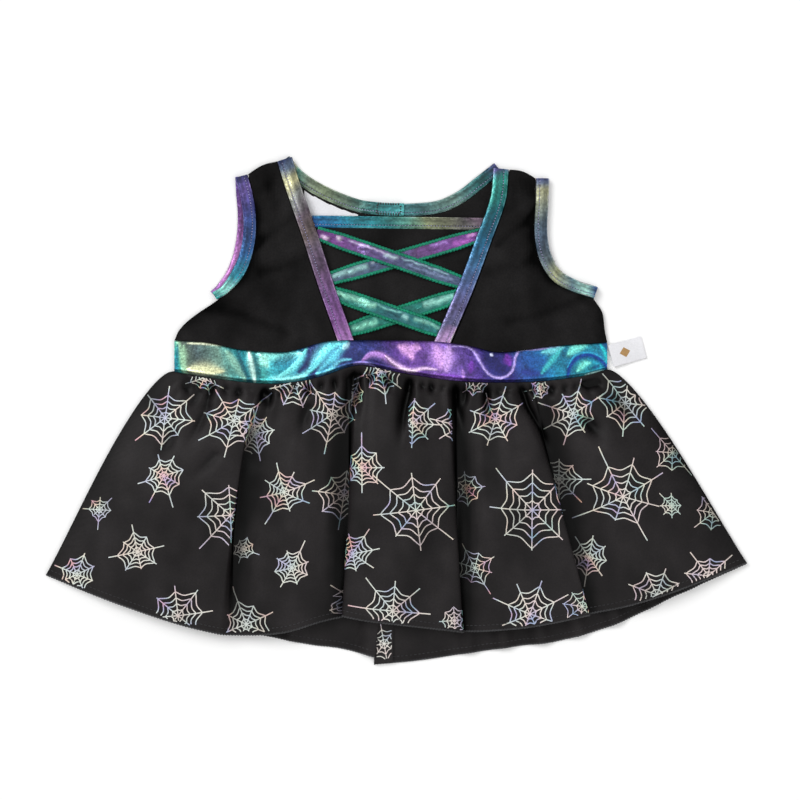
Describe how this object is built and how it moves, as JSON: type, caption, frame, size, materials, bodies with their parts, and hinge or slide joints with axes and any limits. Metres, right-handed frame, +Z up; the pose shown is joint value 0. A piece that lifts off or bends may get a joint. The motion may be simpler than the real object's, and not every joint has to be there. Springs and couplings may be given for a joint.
{
  "type": "witch costume dress for a soft toy",
  "caption": "Sleeveless toy dress laid flat: black bodice with laced front insert, metallic bindings and waistband, and a full gathered skirt open down the back.",
  "frame": {"origin": "middle of the dress on the surface that it lies on", "axes": "+X to the right across the dress as seen from above, +Y from the hem to the shoulders, +Z up from the surface"},
  "size_m": [0.3078, 0.2226, 0.0125],
  "materials": {
    "black_cloth": "black woven polyester, nearly matte",
    "printed_satin": "black satin with pearly foil webs printed on it",
    "foil_band": "metallic knit foil, mint, cyan, indigo and violet",
    "foil_binding": "metallic foil tape, teal, blue, violet and pale gold",
    "foil_lace": "metallic foil ribbon with green stitched edges",
    "white_label": "smooth white woven tape"
  },
  "bodies": {
    "root": {"armhole_binding_back_left": "foil_binding", "armhole_binding_back_right": "foil_binding", "armhole_binding_front_left": "foil_binding", "armhole_binding_front_right": "foil_binding", "back_facing_right": "printed_satin", "bodice_back_left": "black_cloth", "bodice_back_right": "black_cloth", "bodice_front_left": "black_cloth", "bodice_front_right": "black_cloth", "front_insert": "black_cloth", "insert_top_band": "foil_binding", "lace_lower_over": "foil_lace", "lace_lower_under": "foil_lace", "lace_upper_over": "foil_lace", "lace_upper_under": "foil_lace", "neck_binding_back_left": "foil_binding", "neck_binding_back_right": "foil_binding", "neck_label": "white_label", "neckline_binding_left": "foil_binding", "neckline_binding_right": "foil_binding", "side_label": "white_label", "skirt_back_left": "printed_satin", "skirt_back_right": "printed_satin", "skirt_front": "printed_satin", "waistband_back_left": "foil_band", "waistband_back_right": "foil_band", "waistband_front": "foil_band"}
  },
  "joints": []
}
